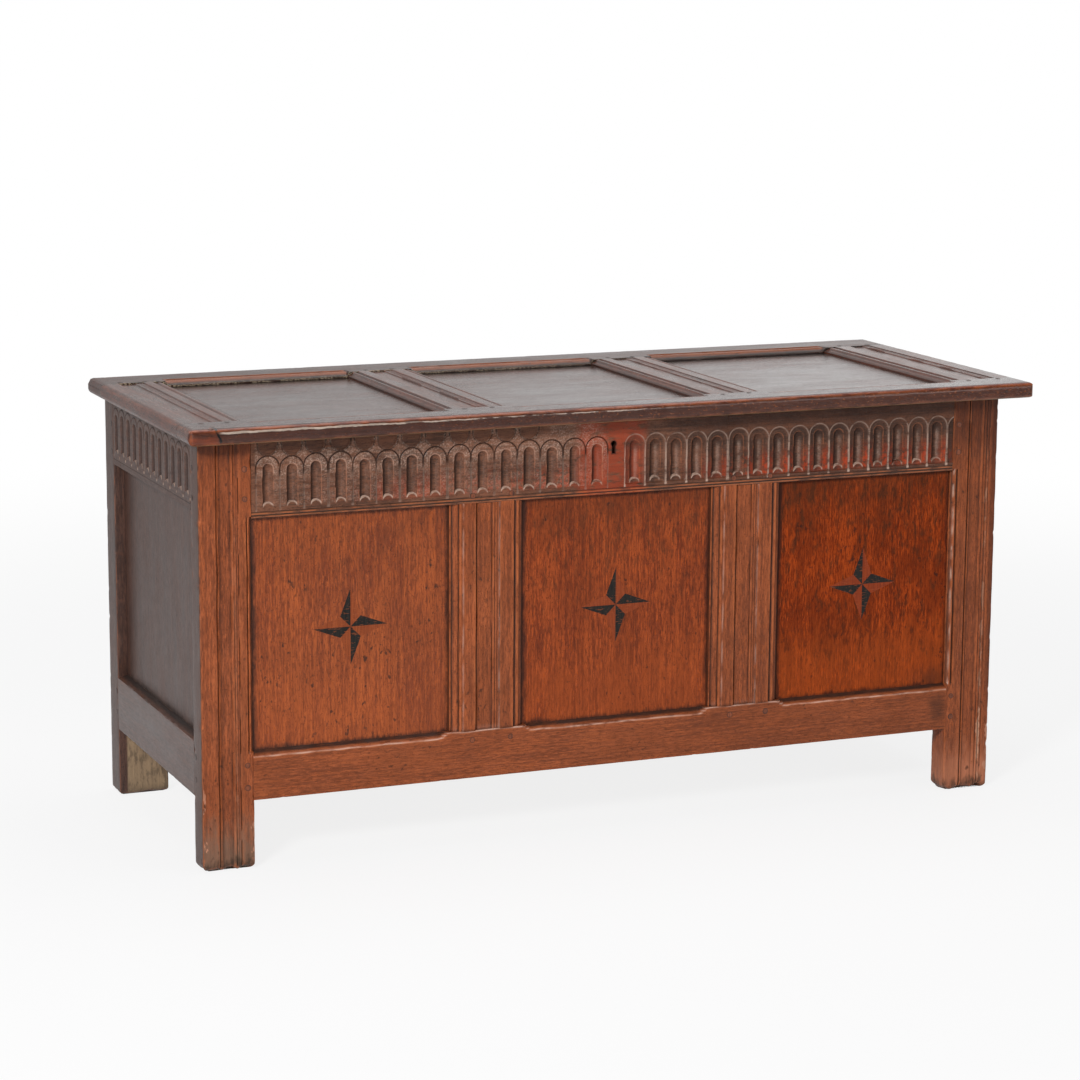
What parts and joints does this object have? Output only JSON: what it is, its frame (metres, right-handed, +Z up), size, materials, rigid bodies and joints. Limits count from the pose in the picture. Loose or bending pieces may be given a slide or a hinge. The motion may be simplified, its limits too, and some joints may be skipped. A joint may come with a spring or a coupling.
{
  "type": "coffer chest",
  "caption": "Joined oak coffer: panelled front with inlaid stars under a fluted frieze, hinged panelled lid, box lock, and posts that run down as feet.",
  "frame": {"origin": "on the floor, under the middle of the lid", "axes": "+X to the viewer's right along the front, +Y from the front to the back, +Z up"},
  "size_m": [1.384, 0.558, 0.6663],
  "materials": {
    "oak_frame": "waxed, worn",
    "oak_panel": "waxed, worn",
    "oak_frieze": "waxed, dark with age",
    "oak_side": "dull, dark with age",
    "oak_lid": "polished, dark with age",
    "oak_raw": "bare, unpolished",
    "oak_peg": "waxed, dark",
    "bog_oak": "inlaid, waxed",
    "pale_inlay": "inlaid, waxed",
    "iron": "wrought, dark"
  },
  "bodies": {
    "carcass": {"front_left_post": "oak_frame", "front_right_post": "oak_frame", "front_left_muntin": "oak_frame", "front_right_muntin": "oak_frame", "front_bottom_rail": "oak_frame", "front_left_panel": "oak_panel", "front_middle_panel": "oak_panel", "front_right_panel": "oak_panel", "front_frieze_rail": "oak_frieze", "left_frieze_rail": "oak_side", "right_frieze_rail": "oak_side", "left_bottom_rail": "oak_side", "right_bottom_rail": "oak_side", "left_panel": "oak_side", "right_panel": "oak_side", "back_left_post": "oak_raw", "back_right_post": "oak_raw", "back_top_rail": "oak_raw", "back_bottom_rail": "oak_raw", "back_left_muntin": "oak_raw", "back_right_muntin": "oak_raw", "back_left_panel": "oak_raw", "back_middle_panel": "oak_raw", "back_right_panel": "oak_raw", "bottom_board_1": "oak_raw", "bottom_board_2": "oak_raw", "bottom_board_3": "oak_raw", "bottom_board_4": "oak_raw", "bottom_board_5": "oak_raw", "front_pegs": "oak_peg", "side_pegs": "oak_peg", "back_pegs": "oak_peg", "left_star_dark": "bog_oak", "middle_star_dark": "bog_oak", "right_star_dark": "bog_oak", "left_star_light": "pale_inlay", "middle_star_light": "pale_inlay", "right_star_light": "pale_inlay", "left_hinge_staple": "iron", "right_hinge_staple": "iron", "lock_plate": "iron", "lock_guides": "iron", "lock_nails": "iron"},
    "lid": {"lid_front_rail": "oak_lid", "lid_back_rail": "oak_lid", "lid_left_stile": "oak_lid", "lid_right_stile": "oak_lid", "lid_left_muntin": "oak_lid", "lid_right_muntin": "oak_lid", "lid_left_panel": "oak_lid", "lid_middle_panel": "oak_lid", "lid_right_panel": "oak_lid", "lid_pegs": "oak_peg", "left_lid_eye": "iron", "right_lid_eye": "iron", "lid_lock_staple": "iron", "lid_staple_tacks": "iron"},
    "bolt": {"lock_bolt": "iron"}
  },
  "joints": [
    {"name": "lid_hinge", "type": "hinge", "parent": "carcass", "child": "lid", "pos_m": [0, 0.2695, 0.64165], "axis": [-1, 0, 0], "range_deg": [0, 100]},
    {"name": "bolt_slide", "type": "slide", "parent": "carcass", "child": "bolt", "axis": [1, 0, 0], "range_m": [0, 0.016]}
  ]
}
